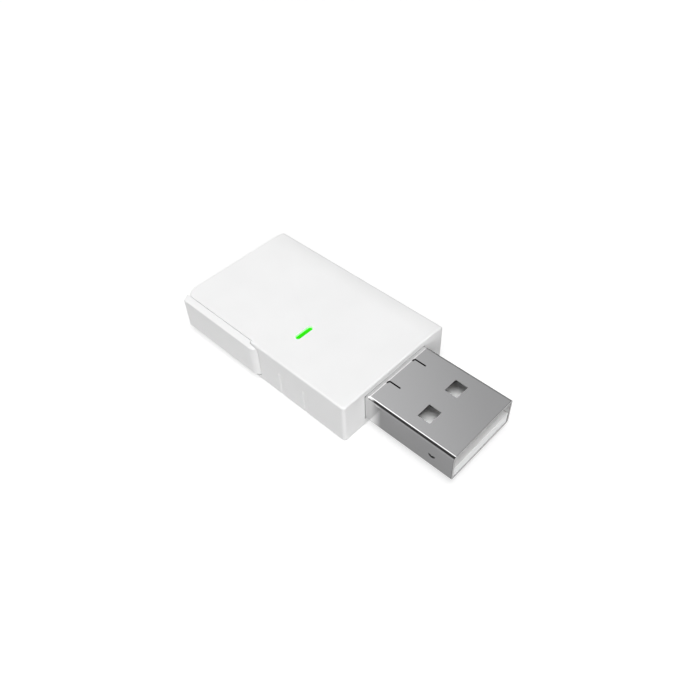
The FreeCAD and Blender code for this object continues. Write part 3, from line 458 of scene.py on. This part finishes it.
def antenna_ceramic():
    """Pale ceramic under a thin glaze."""
    color = (0.72, 0.73, 0.68)
    surface = moulded("antenna_ceramic", color, roughness=0.22, grain=2500.0, depth=2e-6, drift=0.9)
    surface.set(Coat_Weight=0.4, Coat_Roughness=0.08)
    return surface


def inductor_grey():
    """Pressed ferrite: coarse grains of lighter and darker grey."""
    surface = Surface("inductor_grey", (0.09, 0.09, 0.10), roughness=0.6)
    grains = surface.texture("Voronoi", Scale=7000.0).outputs["Distance"]
    surface.vary_color(grains, (0.20, 0.20, 0.21), across=(0.1, 0.6))
    surface.bump(grains, distance=8e-6, strength=0.4)
    return surface


def fired(name, color, cloudy, roughness):
    """Fired ceramic, cloudy and slightly rough."""
    surface = Surface(name, color, roughness)
    cloud = surface.noise(per_metre=5200.0, detail=3.0)
    surface.vary_color(cloud, cloudy)
    surface.bump(cloud, distance=5e-6, strength=0.35)
    surface.vary_roughness(surface.noise(per_metre=1400.0), spread=0.05)
    return surface


def capacitor_tan():
    return fired("capacitor_tan", (0.27, 0.16, 0.08), cloudy=(0.33, 0.22, 0.12), roughness=0.45)


def resistor_black():
    return fired("resistor_black", (0.02, 0.02, 0.022), cloudy=(0.035, 0.035, 0.04), roughness=0.3)


def lamp_white():
    """The lamp's white package under its clear lens."""
    surface = moulded("lamp_white", (0.80, 0.82, 0.72), roughness=0.25, grain=3500.0, depth=2e-6, drift=0.92)
    surface.set(Coat_Weight=0.6, Coat_Roughness=0.05)
    return surface


def switch_black():
    return moulded("switch_black", (0.03, 0.03, 0.032), roughness=0.5, grain=5200.0, depth=5e-6, drift=1.4)


def plunger_grey():
    return moulded("plunger_grey", (0.17, 0.17, 0.175), roughness=0.45, grain=5200.0, depth=4e-6, drift=0.9)


# Each makes the material of its own name, which is also the record's slot
FINISHES = [
    housing_white, key_white, light_pipe_green, board_green, plug_steel, tongue_white, contact_gold,
    shield_steel, chip_black, antenna_ceramic, inductor_grey, capacitor_tan, resistor_black, lamp_white,
    switch_black, plunger_grey,
]


def dress_nodes():
    """Gives each CAD node the material of its slot in the record."""
    made = {finish.__name__: finish().material for finish in FINISHES}
    for part in frame["record"]["subparts"]:
        mesh = nodes[part["node"]].data
        mesh.materials.clear()
        mesh.materials.append(made[part["material_slot"]])


# Floor, world and lamps

# The glow is what the camera and mirrors see of the floor on top of its light, near the object and far away
FLOOR = {
    "half_width": 3.0, "gap": 0.00002, "color": 0.46,
    "glow": 0.62, "far_glow": 0.95, "near": 0.12, "far": 0.6,
}

# Strength of the dome's light
SKY = {"horizon": 0.12, "zenith": 0.30}

# Name, azimuth of where it stands, elevation, distance, width, height, watts
LIT = [
    ("soft_key", 47.0, 78.0, 0.9, 0.7, 0.6, 5.9),
    ("soft_fill", 62.0, 14.0, 0.9, 0.9, 0.4, 2.5),
    ("near_fill", 35.0, 12.0, 0.9, 0.9, 0.4, 1.6),
]

# Soft cards that only polished surfaces mirror, in the same order
MIRRORED = [
    ("mirrored_softbox", -125.0, 66.0, 0.9, 1.2, 0.9, 1.46),
    ("mirrored_card", -90.0, 60.0, 0.5, 0.30, 0.30, 0.55),
]

# Which card brightens across its width, and from where to where
FALLOFF = {"lamp": "mirrored_softbox", "dim": 0.55, "bright": 1.85, "across": (0.24, 0.385)}


def seen(tree):
    """1 for what the camera, metal and glass see."""
    path = tree.add("ShaderNodeLightPath").outputs
    return tree.any(path["Is Camera Ray"], path["Is Glossy Ray"], path["Is Transmission Ray"])


def floor():
    """A pale floor that is white behind the object and in its metal, with a soft shadow."""
    half = FLOOR["half_width"]
    level = cad_box[0][2] - FLOOR["gap"]
    mesh = bpy.data.meshes.new("floor")
    corners = [(-half, -half), (half, -half), (half, half), (-half, half)]
    mesh.from_pydata([(x, y, level) for x, y in corners], [], [(0, 1, 2, 3)])
    ground = bpy.data.objects.new("floor", mesh)
    bpy.context.scene.collection.objects.link(ground)
    material = bpy.data.materials.new("floor_pale")
    material.use_nodes = True
    mesh.materials.append(material)
    tree = Tree(material.node_tree)
    tree.tree.nodes.clear()
    away = tree.vector_math("LENGTH", tree.add("ShaderNodeTexCoord").outputs["Object"])
    strength = tree.ramp(away, (FLOOR["near"], FLOOR["far"]), FLOOR["glow"], FLOOR["far_glow"])
    glow = tree.add("ShaderNodeEmission", Color=WHITE, Strength=tree.every(seen(tree), strength))
    pale = tree.add("ShaderNodeBsdfDiffuse", Color=(*grey(FLOOR["color"]), 1))
    both = tree.add("ShaderNodeAddShader")
    tree.put(both, 0, pale.outputs[0])
    tree.put(both, 1, glow.outputs[0])
    tree.add("ShaderNodeOutputMaterial", Surface=both.outputs[0])


def sky():
    """A studio dome, brighter overhead, and a white backdrop for the camera, metal and glass."""
    world = bpy.data.worlds.new("studio")
    bpy.context.scene.world = world
    world.use_nodes = True
    tree = Tree(world.node_tree)
    tree.tree.nodes.clear()
    towards = tree.add("ShaderNodeTexCoord").outputs["Generated"]
    height = tree.add("ShaderNodeSeparateXYZ", Vector=towards).outputs["Z"]
    strength = tree.ramp(height, (0, 1), SKY["horizon"], SKY["zenith"])
    dome = tree.add("ShaderNodeBackground", Color=WHITE, Strength=strength)
    white = tree.add("ShaderNodeBackground", Color=WHITE)
    either = tree.add("ShaderNodeMixShader")
    for index, socket in enumerate((seen(tree), dome.outputs[0], white.outputs[0])):
        tree.put(either, index, socket)
    tree.add("ShaderNodeOutputWorld", Surface=either.outputs[0])


def shade_across(data):
    """Makes a lamp brighter towards one side."""
    data.use_nodes = True
    tree = Tree(data.node_tree)
    place = tree.add("ShaderNodeNewGeometry").outputs["Parametric"]
    sideways = tree.add("ShaderNodeSeparateXYZ", Vector=place).outputs["X"]
    strength = tree.ramp(sideways, FALLOFF["across"], FALLOFF["dim"], FALLOFF["bright"])
    tree.put(tree.tree.nodes["Emission"], "Strength", strength)


def lamps():
    """Lamps that light every surface and stand in no mirror, and cards that only mirrors show."""
    for rows, mirrored in ((LIT, False), (MIRRORED, True)):
        for name, azimuth, elevation, away, width, height, watts in rows:
            data = bpy.data.lights.new(name, "AREA")
            data.shape = "RECTANGLE"
            data.size = width
            data.size_y = height
            data.energy = watts
            if name == FALLOFF["lamp"]:
                shade_across(data)
            lamp = bpy.data.objects.new(name, data)
            turn = facing(azimuth, elevation)
            lamp.matrix_world = Matrix.Translation(turn.col[2] * away) @ turn.to_4x4()
            lamp.visible_diffuse = not mirrored
            lamp.visible_glossy = mirrored
            bpy.context.scene.collection.objects.link(lamp)


place_camera()
dress_nodes()
floor()
sky()
lamps()

bpy.context.scene.view_settings.view_transform = "Standard"
